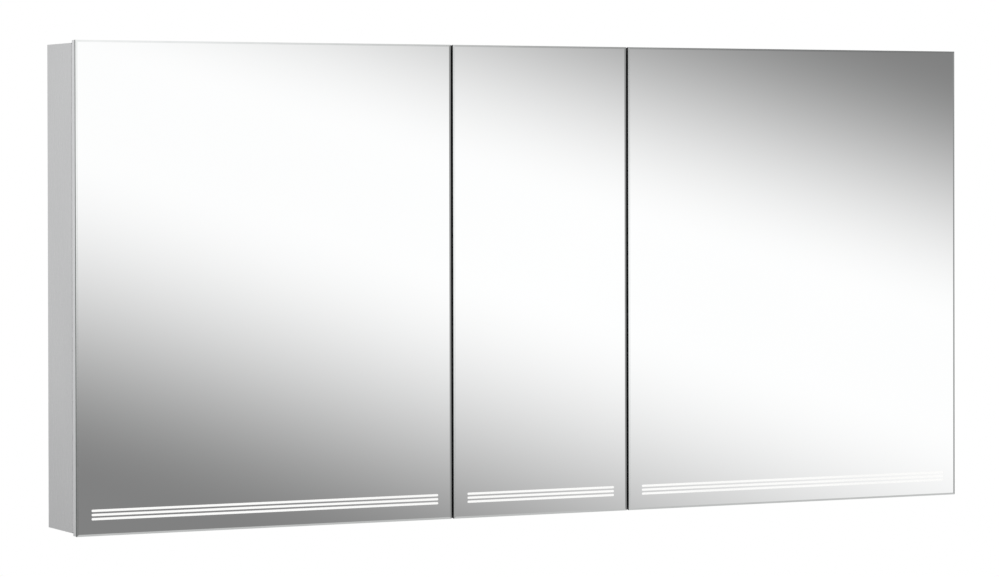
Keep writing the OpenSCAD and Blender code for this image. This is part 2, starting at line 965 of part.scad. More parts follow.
// Two cheeks joined by a web, with the elbow pin through their outer ends
module hinge_crank() {
    mid = arm_pivot + crank_vector * 0.5;
    angle = atan2(crank_vector[1], crank_vector[0]);
    web = [6, 2.6, 2 * crank_gap + 2];
    difference() {
        union() {
            for (z = [-crank_gap - cheek_t, crank_gap])
                translate([0, 0, z])
                    linear_extrude(height = cheek_t)
                        strap(arm_pivot, elbow, eye_r, eye_r - 0.4);
            translate(mid)
                rotate(angle)
                    translate([-web[0] / 2, 0.6, -web[2] / 2])
                        cube(web);
        }
        translate([arm_pivot[0], arm_pivot[1], -10])
            cylinder(h = 20, r = hinge_pin_r + fit);
    }
    translate([elbow[0], elbow[1], -crank_gap - cheek_t])
        cylinder(h = 2 * (crank_gap + cheek_t), r = hinge_pin_r);
}

module hinge_link() {
    difference() {
        translate([0, 0, -arm_half])
            linear_extrude(height = 2 * arm_half)
                strap(elbow, cup_pivot, eye_r, eye_r - 0.8);
        for (p = [elbow, cup_pivot])
            translate([p[0], p[1], -10])
                cylinder(h = 20, r = hinge_pin_r + fit);
    }
}

// Round cup in the door with two lugs that hold the link's pin
module hinge_cup() {
    floor_y = -rest_gap - cup_depth;
    shell = 1.2;
    floor_t = 1;
    flange_t = 1;
    flange_half = cup_r + flange_margin;
    lug_t = 2.5;
    lug_half = 4;
    difference() {
        union() {
            rod([cup_x, floor_y, 0], cup_depth + flange_t / 2, cup_r, "y");
            block([pivot_inset, -rest_gap + touch / 2, -flange_half],
                  [cup_x + flange_half, -rest_gap + flange_t, flange_half]);
        }
        rod([cup_x, floor_y + floor_t, 0], cup_depth + 4, cup_r - shell, "y");
    }
    for (z = [-crank_gap - lug_t, crank_gap])
        block([cup_pivot[0] - lug_half, floor_y + floor_t / 2, z],
              [cup_pivot[0] + lug_half, -rest_gap - 1, z + lug_t]);
    translate([cup_pivot[0], cup_pivot[1], -crank_gap - 1])
        cylinder(h = 2 * crank_gap + 2, r = hinge_pin_r);
}

module cups(door) {
    color(nickel) at_hinges(door) hinge_cup();
}

module cranks(door) {
    color(nickel) at_hinges(door) hinge_crank();
}

module links(door) {
    color(nickel) at_hinges(door) hinge_link();
}

// ---- output ----

casing_top();
casing_bottom();
casing_left();
casing_right();
left_partition();
right_partition();
corner_keys();
casing_screws();
back_board();
back_brace();
side_back_mirrors();
middle_back_mirror();
wall_rail();
hangers();
hanger_screws();
wall_tabs();
side_shelves();
middle_shelves();
shelf_pins();
door_bumpers();
light_covers();
light_lenses();
led_carriers();
led_boards();
driver_case();
driver_lid();
driver_board();
terminal_block();
cable_gland();
wiring();
switch_housing();
switch_button();
hinge_plates();
hinge_plate_screws();
hinge_arms();
hinge_arm_pins();
door_mirror(0);  // left_door_mirror
door_mirror(1);  // middle_door_mirror
door_mirror(2);  // right_door_mirror
door_frame(0);  // left_door_frame
door_frame(1);  // middle_door_frame
door_frame(2);  // right_door_frame
door_core(0);  // left_door_core
door_core(1);  // middle_door_core
door_core(2);  // right_door_core
door_inner_mirror(0);  // left_door_inner_mirror
door_inner_mirror(1);  // middle_door_inner_mirror
door_inner_mirror(2);  // right_door_inner_mirror
door_light_box(0);  // left_door_light_box
door_light_box(1);  // middle_door_light_box
door_light_box(2);  // right_door_light_box
cups(0);  // left_hinge_cups
cups(1);  // middle_hinge_cups
cups(2);  // right_hinge_cups
cranks(0);  // left_hinge_cranks
cranks(1);  // middle_hinge_cranks
cranks(2);  // right_hinge_cranks
links(0);  // left_hinge_links
links(1);  // middle_hinge_links
links(2);  // right_hinge_links
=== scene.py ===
"""Looks of the mirrored cabinet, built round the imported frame. Metres, row frame."""

import json
import math

import bmesh
import bpy
from mathutils import Euler, Matrix, Vector


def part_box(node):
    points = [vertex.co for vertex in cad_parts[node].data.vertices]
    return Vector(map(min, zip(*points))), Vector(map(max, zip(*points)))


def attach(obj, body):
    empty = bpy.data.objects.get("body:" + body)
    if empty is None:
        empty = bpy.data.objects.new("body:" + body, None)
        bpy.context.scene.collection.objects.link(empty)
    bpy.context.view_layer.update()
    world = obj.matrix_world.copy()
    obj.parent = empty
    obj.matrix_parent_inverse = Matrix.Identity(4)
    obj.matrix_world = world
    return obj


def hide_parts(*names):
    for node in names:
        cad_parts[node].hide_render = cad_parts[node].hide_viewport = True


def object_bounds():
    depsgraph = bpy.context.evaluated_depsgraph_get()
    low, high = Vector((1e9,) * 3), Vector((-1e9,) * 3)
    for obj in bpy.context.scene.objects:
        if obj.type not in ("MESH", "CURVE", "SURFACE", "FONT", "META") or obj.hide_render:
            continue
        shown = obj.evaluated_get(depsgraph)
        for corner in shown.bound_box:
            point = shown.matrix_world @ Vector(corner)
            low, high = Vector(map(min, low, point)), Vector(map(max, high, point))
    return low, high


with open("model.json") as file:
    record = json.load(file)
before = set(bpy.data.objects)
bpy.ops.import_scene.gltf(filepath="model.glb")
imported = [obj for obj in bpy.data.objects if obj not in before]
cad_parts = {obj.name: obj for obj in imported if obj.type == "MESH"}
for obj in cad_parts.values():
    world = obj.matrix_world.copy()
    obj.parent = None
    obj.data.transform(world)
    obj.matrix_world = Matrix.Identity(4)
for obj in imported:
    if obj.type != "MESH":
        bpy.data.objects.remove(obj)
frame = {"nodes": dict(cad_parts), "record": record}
cad_low, cad_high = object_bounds()
MM = 0.001
NODES = frame["nodes"]
BODY_OF = {n: b for b, members in frame["record"]["behaviour"]["bodies"].items() for n in members}
SLOT_OF = {s["node"]: s["material_slot"] for s in frame["record"]["subparts"]}
DOORS = ("left", "middle", "right")

# Front pane
BEVEL_WIDTH = 3 * MM
BEVEL_DEPTH = 0.8 * MM
STRIPE_COUNT = 3
STRIPE_HEIGHT = 3.5 * MM
STRIPE_PITCH = 6 * MM
STRIPE_RISE = 23 * MM
STRIPE_INSET = 22.5 * MM
STRIPE_END_RADIUS = 1.6 * MM

# Door sides nearer the middle than this face another door
JOINT_REACH = 0.2
# Hinges left of this stand on the left side of their bay
BAY_TURN = 0.5

# Camera: long lens at the viewer's left, nearly level, with the horizon high in the frame
CAMERA_PLACE = (-2.6066, -5.2218, 0.1802)
CAMERA_YAW = math.radians(26.432)
CAMERA_ROLL = -0.00194
CAMERA_LENS = 135.35
CAMERA_PITCH = math.radians(0.5)
CAMERA_SHIFT = -0.0935
SENSOR_WIDTH = 36
CLIP_END = 100

# Studio: a soft bright band that the mirrors show. It lies level to the left, slants down
# by a whole band to the right of the front, and has a hump left of that for the left
# edges of the doors. Above and below the cabinet's height it stands upright. It is dimmer
# behind the cabinet and below it, and a pale floor closes it at the bottom.
BAND_LEFT = math.radians(20)
BAND_TURN = math.radians(45)
HUMP_START = math.radians(-10)
HUMP_RISE = 1.0
HUMP_FALL = 0.5
BAND_SLOPE = 0.3164
BAND_CENTRE = 0.1432
BAND_UPPER = (-0.003, 0.069)
BAND_LOWER = (0.029, 0.118)
BAND_DARK = 0.22
BAND_HEIGHT = (-0.1, 0.036)
BAND_LEVEL = 1.036
BACK_FADE = (math.radians(80), math.radians(115))
BACK_LEVEL = 0.67
BACK_GROUND_FADE = (-0.14, -0.06)
BACK_GROUND = 0.33
FLAG_LEFT = (math.radians(45), math.radians(50))
FLAG_RIGHT = (math.radians(69), math.radians(75))
FLAG_HEIGHT = (0.13, 0.2)
FLAG_LEVEL = 0.31
GROUND_FADE = (-0.26, -0.10)
GROUND_LEVEL = 0.8
FLOOR_FADE = (-0.62, -0.27)
FLOOR_LEVEL = 0.6
FLOOR_DROP = 1.5
FLOOR_RADIUS = 2.0
FLOOR_STEPS = 96
KEY_PLACE = (-1.8, -3.2, 2.6)
KEY_SIZE = (2.4, 1.6)
KEY_POWER = 35

# Seals and bumpers; the black joint seals and side tape are partly seals and partly painted shade for the
# gaps between doors
SEAL_THICK = 1.4 * MM
DUST_SEAL_WIDTH = 3 * MM
DUST_SEAL_INSET = 0.3 * MM
DUST_SEAL_ROUND = 0.5 * MM
JOINT_SHADE_SEAL_WIDTH = 10 * MM
JOINT_SHADE_SEAL_ROUND = 0.4 * MM
SEAL_END = 1.5 * MM
# Black side tape on the door frames: painted shade for the gaps between doors
SHADE_TAPE_MARGIN = 0.4 * MM
SHADE_TAPE_STEP = 0.2
BUMPER_STEP = 0.35 * MM

# Screws of the hinges: half length, half width and depth of a cross recess
RECESS = (1.5 * MM, 0.42 * MM, 1.1 * MM)
ADJUSTERS = ((27 * MM, 2.3 * MM), (47 * MM, 3.0 * MM))
ADJUSTER_LENGTH = 3.2 * MM
ADJUSTER_SHOULDER = 0.8
ADJUSTER_SUNK = 0.7 * MM
CUP_SCREW_INSET = 4.4 * MM
CUP_SCREW_RADIUS = 2.4 * MM
CUP_SCREW_HEIGHT = 0.6 * MM
TURN_STEPS = 24
CROWN_STEPS = 6

# Broken corners
SECTION_ROUND = 0.35 * MM
SHEET_ROUND = 0.3 * MM
DOOR_ROUND = 0.25 * MM
MIRROR_ROUND = 0.5 * MM
SHELF_ROUND = 1.2 * MM
METAL_STEPS = 2
GLASS_STEPS = 3
SHARP = math.radians(20)
CORNER = math.radians(40)
SAME_PLANE = math.radians(0.4)
WELD = 1e-6
FLAT_ENOUGH = 0.999


# ---- shader helpers ----

def new_material(name):
    mat = bpy.data.materials.new(name)
    mat.use_nodes = True
    return mat, mat.node_tree, mat.node_tree.nodes["Principled BSDF"]


def node(tree, kind, **settings):
    made = tree.nodes.new(kind)
    for key, value in settings.items():
        setattr(made, key, value)
    return made


def put(made, **values):
    for key, value in values.items():
        made.inputs[key.replace("_", " ")].default_value = value
    return made


def coords(tree, scale):
    """Object coordinates, stretched by scale."""
    source = node(tree, "ShaderNodeTexCoord")
    mapping = node(tree, "ShaderNodeMapping")
    mapping.inputs["Scale"].default_value = scale
    tree.links.new(source.outputs["Object"], mapping.inputs["Vector"])
    return mapping.outputs["Vector"]


def noise(tree, scale, detail=3.0, stretch=(1, 1, 1)):
    made = put(node(tree, "ShaderNodeTexNoise"), Scale=scale, Detail=detail)
    tree.links.new(coords(tree, stretch), made.inputs["Vector"])
    return made.outputs["Fac"]


def spread(tree, value, low, high):
    """Maps a noise value to low..high."""
    made = node(tree, "ShaderNodeMapRange")
    put(made, **{"From_Min": 0.3, "From_Max": 0.7, "To_Min": low, "To_Max": high})
    tree.links.new(value, made.inputs["Value"])
    return made.outputs["Result"]


def mixed(tree, factor, a, b):
    made = node(tree, "ShaderNodeMix", data_type="RGBA")
    tree.links.new(factor, made.inputs["Factor"])
    made.inputs["A"].default_value = (*a, 1)
    made.inputs["B"].default_value = (*b, 1)
    return made.outputs["Result"]


def bumped(tree, shader, value, strength, distance):
    made = put(node(tree, "ShaderNodeBump"), Strength=strength, Distance=distance)
    tree.links.new(value, made.inputs["Height"])
    tree.links.new(made.outputs["Normal"], shader.inputs["Normal"])


def surface(name, colours, metallic=0.0, roughness=(0.3, 0.4), tone=(8, (1, 1, 1)),
            grain=(900, (1, 1, 1)), bump=(0.1, 0.00002), **sockets):
    """A material with drifting tone, uneven gloss and a fine relief."""
    mat, tree, shader = new_material(name)
    put(shader, Metallic=metallic, **sockets)
    drift = noise(tree, tone[0], 2.0, tone[1])
    tree.links.new(mixed(tree, spread(tree, drift, 0, 1), *colours), shader.inputs["Base Color"])
    fine = noise(tree, grain[0], 4.0, grain[1])
    tree.links.new(spread(tree, fine, *roughness), shader.inputs["Roughness"])
    if bump:
        bumped(tree, shader, fine, *bump)
    return mat


def brushed_aluminium(name, along, grey=0.77, roughness=(0.25, 0.33)):
    """Anodised aluminium with drawing lines along one axis."""
    lines = tuple(0.012 if axis == along else 1 for axis in "xyz")
    dull, bright = grey - 0.025, grey + 0.025
    return surface(name, ((dull, dull * 1.006, dull * 1.016), (bright, bright * 1.006, bright * 1.014)), 1.0,
                   roughness, tone=(3, (1, 1, 1)), grain=(2600, lines), bump=(0.10, 0.00002))


def mirror_glass():
    return surface("mirror", ((0.945, 0.950, 0.950), (0.962, 0.966, 0.966)), 1.0, (0.0, 0.018),
                   tone=(1.3, (1, 1, 1)), grain=(5, (1, 1, 1.6)), bump=None)


def ground_glass(name, dark, light, metallic, roughness):
    return surface(name, (dark, light), metallic, roughness, tone=(30, (1, 1, 1)),
                   grain=(1500, (1, 1, 1)), bump=(0.15, 0.00002))


def lit(name, colour, strength, base):
    """Opal surface lit from behind, a touch uneven."""
    mat = surface(name, (base, base), 0.0, (0.35, 0.5), grain=(300, (1, 1, 1)), bump=(0.05, 0.00002))
    tree = mat.node_tree
    shader = tree.nodes["Principled BSDF"]
    glow = noise(tree, 6, 1.0)
    dim = tuple(0.96 * c for c in colour)
    tree.links.new(mixed(tree, spread(tree, glow, 0, 1), dim, colour), shader.inputs["Emission Color"])
    put(shader, **{"Emission_Strength": strength})
    return mat


def shelf_glass():
    return surface("shelf_glass", ((0.93, 0.985, 0.965), (0.95, 0.99, 0.975)), 0.0, (0.0, 0.03),
                   tone=(4, (1, 1, 1)), grain=(6, (1, 1, 1)), bump=None,
                   **{"Transmission_Weight": 1.0, "IOR": 1.5})


def zinc_plate():
    """Zinc plated steel: soft spangle in tone and gloss."""
    mat, tree, shader = new_material("zinc_steel")
    put(shader, Metallic=1.0)
    cells = put(node(tree, "ShaderNodeTexVoronoi"), Scale=160.0)
    tree.links.new(coords(tree, (1, 1, 1)), cells.inputs["Vector"])
    grey = node(tree, "ShaderNodeRGBToBW")
    tree.links.new(cells.outputs["Color"], grey.inputs["Color"])
    tree.links.new(mixed(tree, grey.outputs["Val"], (0.56, 0.57, 0.59), (0.68, 0.69, 0.70)),
                   shader.inputs["Base Color"])
    tree.links.new(spread(tree, grey.outputs["Val"], 0.28, 0.42), shader.inputs["Roughness"])
    return mat


def circuit_board():
    """White solder mask with fine tracks under it."""
    mat, tree, shader = new_material("circuit_board")
    tracks = node(tree, "ShaderNodeTexWave", wave_type="BANDS", bands_direction="Z")
    put(tracks, Scale=180.0, Distortion=2.5, Detail=1.0)
    tree.links.new(coords(tree, (0.2, 1, 1)), tracks.inputs["Vector"])
    tree.links.new(mixed(tree, tracks.outputs["Fac"], (0.86, 0.87, 0.86), (0.78, 0.80, 0.78)),
                   shader.inputs["Base Color"])
    put(shader, Roughness=0.35)
    bumped(tree, shader, tracks.outputs["Fac"], 0.15, 0.00003)
    return mat


ALUMINIUM_X = brushed_aluminium("aluminium_drawn_along_x", "x")
ALUMINIUM_Z = brushed_aluminium("aluminium_drawn_along_z", "z")
FRAME_ALUMINIUM = brushed_aluminium("door_frame_aluminium", "z", 0.90, (0.24, 0.34))
MIRROR = mirror_glass()
GROUND_EDGE = ground_glass("ground_edge", (0.82, 0.835, 0.83), (0.87, 0.885, 0.88), 1.0, (0.03, 0.09))
GLASS_RIM = ground_glass("glass_rim", (0.045, 0.062, 0.057), (0.07, 0.09, 0.083), 0.0, (0.38, 0.5))
# Darker glass rim for pane sides that face another door: painted shade for the gap between the doors.
GAP_SHADE_RIM = ground_glass("gap_shade_rim", (0.030, 0.034, 0.033), (0.045, 0.050, 0.048), 0.0, (0.35, 0.5))
MIRROR_PAINT = surface("mirror_back_paint", ((0.20, 0.21, 0.22), (0.24, 0.25, 0.26)), 0.0, (0.5, 0.65))
STRIPE_LIGHT = lit("stripe_light", (1.0, 1.0, 0.99), 0.72, (0.35, 0.35, 0.345))
OPAL = lit("opal", (1.0, 0.995, 0.97), 0.55, (0.88, 0.88, 0.87))
SHELF_GLASS = shelf_glass()
SHELF_RIM = ground_glass("shelf_rim", (0.17, 0.36, 0.30), (0.25, 0.46, 0.39), 0.0, (0.12, 0.25))
NICKEL = surface("nickel", ((0.66, 0.645, 0.62), (0.73, 0.715, 0.69)), 1.0, (0.17, 0.30),
                 tone=(60, (1, 1, 1)), grain=(1800, (1, 1, 1)), bump=(0.08, 0.00002))
ZINC = zinc_plate()
LAMINATE = surface("white_laminate", ((0.80, 0.80, 0.79), (0.84, 0.84, 0.83)), 0.0, (0.42, 0.55),
                   tone=(2, (1, 1, 1)), grain=(700, (1, 1, 1)), bump=(0.12, 0.00004))
HONEYCOMB = surface("honeycomb_board", ((0.50, 0.37, 0.24), (0.60, 0.46, 0.31)), 0.0, (0.7, 0.85),
                    grain=(500, (1, 1, 1)), bump=(0.4, 0.0002))
WHITE_PLASTIC = surface("white_plastic", ((0.80, 0.80, 0.79), (0.84, 0.84, 0.83)), 0.0, (0.35, 0.48),
                        tone=(20, (1, 1, 1)), grain=(1600, (1, 1, 1)), bump=(0.2, 0.00003))
BLACK_PLASTIC = surface("black_plastic", ((0.022, 0.022, 0.024), (0.035, 0.035, 0.037)), 0.0, (0.38, 0.52),
                        tone=(25, (1, 1, 1)), grain=(1600, (1, 1, 1)), bump=(0.2, 0.00003))
CIRCUIT = circuit_board()
SILICONE = surface("clear_silicone", ((0.78, 0.80, 0.80), (0.84, 0.86, 0.86)), 0.0, (0.3, 0.42),
                   tone=(90, (1, 1, 1)), grain=(900, (1, 1, 1)), bump=(0.1, 0.00002),
                   **{"Transmission_Weight": 0.6, "IOR": 1.41})
GREY_RUBBER = surface("grey_rubber", ((0.66, 0.66, 0.67), (0.72, 0.72, 0.73)), 0.0, (0.5, 0.65),
                      tone=(40, (1, 1, 1)), grain=(1200, (1, 1, 1)), bump=(0.3, 0.00004))
# Black rubber for the joint seals and side tape: a seal material, kept black so that it paints the shade of
# the gaps between doors.
GAP_SHADE_RUBBER = surface("gap_shade_rubber", ((0.018, 0.018, 0.019), (0.03, 0.03, 0.031)), 0.0, (0.55, 0.7),
                      tone=(40, (1, 1, 1)), grain=(1200, (1, 1, 1)), bump=(0.3, 0.00004))

SLOT_MATERIAL = {
    "satin_aluminium": ALUMINIUM_X, "mirror": MIRROR, "clear_glass": SHELF_GLASS, "zinc_steel": ZINC,
    "nickel": NICKEL, "white_board": LAMINATE, "core_board": HONEYCOMB, "opal": OPAL,
    "white_plastic": WHITE_PLASTIC, "black_plastic": BLACK_PLASTIC, "circuit_board": CIRCUIT,
    "silicone": SILICONE,
}
UPRIGHT = ("casing_left", "casing_right", "left_partition", "right_partition", "back_brace")


# ---- mesh helpers ----

def finished(bm, name, materials, body, replaced=()):
    """Turns a bmesh into a piece that rides on a body."""
    mesh = bpy.data.meshes.new(name)
    bm.normal_update()
    bm.to_mesh(mesh)
    bm.free()
    for mat in materials:
        mesh.materials.append(mat)
    piece = bpy.data.objects.new(name, mesh)
    bpy.context.scene.collection.objects.link(piece)
    weighted = piece.modifiers.new("flat_faces_stay_flat", "WEIGHTED_NORMAL")
    weighted.weight = 100
    weighted.keep_sharp = True
    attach(piece, body)
    if replaced:
        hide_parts(*replaced)


def mark_smooth(bm):
    for face in bm.faces:
        face.smooth = True
    for edge in bm.edges:
        edge.smooth = len(edge.link_faces) == 2 and edge.calc_face_angle(0) < SHARP


def welded(name):
    """The node's own mesh with its faces joined."""
    bm = bmesh.new()
    bm.from_mesh(NODES[name].data)
    bmesh.ops.remove_doubles(bm, verts=bm.verts, dist=WELD)
    return bm


def rounded(name, width, steps):
    """The node's own mesh with its corners broken."""
    bm = welded(name)
    bmesh.ops.dissolve_limit(bm, angle_limit=SAME_PLANE, verts=bm.verts, edges=bm.edges)
    corners = [e for e in bm.edges if len(e.link_faces) == 2 and e.calc_face_angle(0) > CORNER]
    bmesh.ops.bevel(bm, geom=corners, offset=width, segments=steps, profile=0.5,
                    affect="EDGES", clamp_overlap=True)
    return bm


def refined(name, width, mat=None):
    """The node's own shape with its corners broken, as a piece that replaces it."""
    bm = rounded(name, width, METAL_STEPS)
    for face in bm.faces:
        face.material_index = 0
    mark_smooth(bm)
    chosen = mat or (ALUMINIUM_Z if name in UPRIGHT else SLOT_MATERIAL[SLOT_OF[name]])
    finished(bm, name + "_shape", [chosen], BODY_OF[name], [name])


def painted(name):
    """The CAD node itself, with its procedural material."""
    mesh = NODES[name].data
    mesh.materials.clear()
    mesh.materials.append(SLOT_MATERIAL[SLOT_OF[name]])


def islands(name):
    """(low, high) corners of each separate solid of a node."""
    bm = welded(name)
    waiting = set(bm.verts)
    found = []
    while waiting:
        frontier = [waiting.pop()]
        members = []
        while frontier:
            vert = frontier.pop()
            members.append(vert.co.copy())
            for link in vert.link_edges:
                other = link.other_vert(vert)
                if other in waiting:
                    waiting.remove(other)
                    frontier.append(other)
        low = Vector([min(co[i] for co in members) for i in range(3)])
        high = Vector([max(co[i] for co in members) for i in range(3)])
        found.append((low, high))
    bm.free()
    return sorted(found, key=lambda pair: tuple(round(v, 5) for v in pair[0]))


def add_box(bm, low, high, round_by=0.0):
    """A box between two corners, with its edges rounded."""
    made = bmesh.ops.create_cube(bm, size=1.0)["verts"]
    centre = (Vector(low) + Vector(high)) / 2
    size = Vector(high) - Vector(low)
    placed = Matrix.Translation(centre) @ Matrix.Diagonal((*size, 1))
    bmesh.ops.transform(bm, matrix=placed, verts=made)
    if round_by:
        edges = list({e for v in made for e in v.link_edges})
        bmesh.ops.bevel(bm, geom=edges, offset=round_by, segments=2, profile=0.5, affect="EDGES")


def add_turned(bm, profile, place, direction):
    """A closed solid of revolution: profile is (radius, height) from the axis to the axis."""
    turn = Vector(direction).to_track_quat("Z", "Y").to_matrix()
    rings = []
    for radius, height in profile:
        count = TURN_STEPS if radius > 0 else 1
        ring = []
        for i in range(count):
            angle = 2 * math.pi * i / TURN_STEPS
            local = Vector((radius * math.cos(angle), radius * math.sin(angle), height))
            ring.append(bm.verts.new(Vector(place) + turn @ local))
        rings.append(ring)
    for a, b in zip(rings, rings[1:]):
        for i in range(TURN_STEPS):
            j = (i + 1) % TURN_STEPS
            corners = [a[i % len(a)], a[j % len(a)], b[j % len(b)], b[i % len(b)]]
            bm.faces.new(list(dict.fromkeys(corners)))


def domed(radius, height, foot):
    """Profile of a disc with a crowned top."""
    crown = [(radius * math.cos(a), foot + (height - foot) * math.sin(a))
             for a in (i * math.pi / 2 / CROWN_STEPS for i in range(CROWN_STEPS))]
    return [(0, 0), (radius, 0)] + crown + [(0, height)]


def less(bm, cutter):
    """A new bmesh: bm with the cutter's volume taken away. Both are used up."""
    holders = []
    for made in (bm, cutter):
        bmesh.ops.recalc_face_normals(made, faces=made.faces)
        mesh = bpy.data.meshes.new("blank")
        made.to_mesh(mesh)
        made.free()
        holders.append(bpy.data.objects.new("blank", mesh))
        bpy.context.scene.collection.objects.link(holders[-1])
    cut = holders[0].modifiers.new("cut", "BOOLEAN")
    cut.operation = "DIFFERENCE"
    cut.object = holders[1]
    result = bmesh.new()
    result.from_object(holders[0], bpy.context.evaluated_depsgraph_get())
    for holder in holders:
        mesh = holder.data
        bpy.data.objects.remove(holder)
        bpy.data.meshes.remove(mesh)
    return result


def add_cross(bm, place, axis):
    """A cross-shaped prism round the middle of a screw head that faces along axis."""
    reach, half_width, depth = RECESS
    quarter = [(reach, -half_width), (reach, half_width), (half_width, half_width)]
    outline = []
    for turn in range(4):
        outline.extend(quarter)
        quarter = [(-v, u) for u, v in quarter]
    across = [i for i in range(3) if i != axis]
    ends = []
    for height in (-depth, depth):
        ring = []
        for u, v in outline:
            point = Vector(place)
            point[across[0]] += u
            point[across[1]] += v
            point[axis] += height
            ring.append(bm.verts.new(point))
        ends.append(ring)
        bm.faces.new(ring)
    for i, vert in enumerate(ends[0]):
        j = (i + 1) % len(outline)
        bm.faces.new((vert, ends[0][j], ends[1][j], ends[1][i]))


# ---- door panes ----

def arc(cx, cz, radius, start, end, steps=6):
    turn = [start + (end - start) * i / steps for i in range(steps + 1)]
    return [(cx + radius * math.cos(a), cz + radius * math.sin(a)) for a in turn]


def stripe_outline(x0, x1, z0, z1):
    """(left end, right end) of a stripe with rounded corners, each from bottom to top."""
    r = STRIPE_END_RADIUS
    quarter = math.pi / 2
    left = arc(x0 + r, z0 + r, r, -quarter, -math.pi) + arc(x0 + r, z1 - r, r, math.pi, quarter)
    right = arc(x1 - r, z0 + r, r, -quarter, 0) + arc(x1 - r, z1 - r, r, 0, quarter)
    return left, right


def door_pane(door):
    """Silvered pane with clear lit stripes, a ground edge and a glass rim, made darker as painted shade
    where it faces another door.
    """
    name = door + "_door_mirror"
    low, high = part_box(name)
    bm = bmesh.new()
    places = {}

    def vert(x, y, z):
        key = (round(x, 7), round(y, 7), round(z, 7))
        if key not in places:
            places[key] = bm.verts.new((x, y, z))
        return places[key]

    def face(points, index):
        made = bm.faces.new([vert(*p) for p in points])
        made.material_index = index

    silver, light, edge, rim, paint, gap_shade = range(6)
    # Sides that face another door get the darker rim, which is painted shade for the gap.
    gap_shade_sides = [side for side, near in ((1, high.x), (3, low.x)) if abs(near) < JOINT_REACH]
    front = low.y
    shoulder = low.y + BEVEL_DEPTH
    xa = low.x + BEVEL_WIDTH
    xb = high.x - BEVEL_WIDTH
    za = low.z + BEVEL_WIDTH
    zb = high.z - BEVEL_WIDTH
    sa = low.x + STRIPE_INSET
    sb = high.x - STRIPE_INSET
    inner = (sa + STRIPE_END_RADIUS, sb - STRIPE_END_RADIUS)
    levels = [za]
    for i in range(STRIPE_COUNT):
        bottom = low.z + STRIPE_RISE + i * STRIPE_PITCH
        levels += [bottom, bottom + STRIPE_HEIGHT]
    levels.append(zb)

    def flat(points):
        return [(x, front, z) for x, z in points]

    for i, (z0, z1) in enumerate(zip(levels, levels[1:])):
        if i % 2:
            left, right = stripe_outline(sa, sb, z0, z1)
            face(flat([(xa, z0)] + left + [(xa, z1)]), silver)
            face(flat(left + right[::-1]), light)
            face(flat(right + [(xb, z1), (xb, z0)]), silver)
        else:
            below = [(x, z0) for x in inner] if i else []
            above = [(x, z1) for x in inner[::-1]] if i < 2 * STRIPE_COUNT else []
            face(flat([(xa, z0)] + below + [(xb, z0), (xb, z1)] + above + [(xa, z1)]), silver)

    outer = [(low.x, low.z), (high.x, low.z), (high.x, high.z), (low.x, high.z)]
    inset = [(xa, za), (xb, za), (xb, zb), (xa, zb)]
    for i in range(4):
        j = (i + 1) % 4
        a = outer[i]
        b = outer[j]
        strip = [inset[j], inset[i]]
        if i % 2:
            mids = levels[1:-1] if i == 3 else levels[-2:0:-1]
            strip = [inset[j]] + [(inset[i][0], z) for z in mids] + [inset[i]]
        ring = [(a[0], shoulder, a[1]), (b[0], shoulder, b[1])] + flat(strip)
        face(ring, edge)
        side = [(a[0], high.y, a[1]), (b[0], high.y, b[1]),
                (b[0], shoulder, b[1]), (a[0], shoulder, a[1])]
        face(side, gap_shade if i in gap_shade_sides else rim)
    face([(x, high.y, z) for x, z in outer[::-1]], paint)
    bmesh.ops.recalc_face_normals(bm, faces=bm.faces)
    materials = [MIRROR, STRIPE_LIGHT, GROUND_EDGE, GLASS_RIM, MIRROR_PAINT, GAP_SHADE_RIM]
    finished(bm, name + "_pane", materials, door + "_door", [name])


# ---- glass with ground rims ----

def rimmed(name, width, face_mat, rim_mat, facing):
    """A node's flat glass with rounded, ground rims; facing is the axis of its large faces."""
    bm = rounded(name, width, GLASS_STEPS)
    bm.normal_update()
    mark_smooth(bm)
    for face in bm.faces:
        flat = abs(face.normal[facing]) > FLAT_ENOUGH
        face.material_index = 0 if flat else 1
        face.smooth = not flat
    finished(bm, name + "_glass", [face_mat, rim_mat], BODY_OF[name], [name])


# ---- seals, the black ones partly painted shade ----

def casing_seals():
    """Dust seals along the casing's outer front edges, and black joint seals on the partitions, partly seals
    and partly painted shade for the gaps between doors.
    """
    low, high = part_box("casing_left")
    top = high.z - SEAL_END
    front = low.y
    bm = bmesh.new()
    for side in (-1, 1):
        outer = side * (-low.x - DUST_SEAL_INSET)
        inner = outer - side * DUST_SEAL_WIDTH
        add_box(bm, (min(outer, inner), front - SEAL_THICK, -top), (max(outer, inner), front, top),
                DUST_SEAL_ROUND)
    mark_smooth(bm)
    finished(bm, "dust_seals", [GREY_RUBBER], "casing")
    bm = bmesh.new()
    for name in ("left_partition", "right_partition"):
        low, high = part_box(name)
        middle = (low.x + high.x) / 2
        half = JOINT_SHADE_SEAL_WIDTH / 2
        add_box(bm, (middle - half, front - SEAL_THICK, -top), (middle + half, front, top),
                JOINT_SHADE_SEAL_ROUND)
    mark_smooth(bm)
    finished(bm, "joint_shade_seals", [GAP_SHADE_RUBBER], "casing")


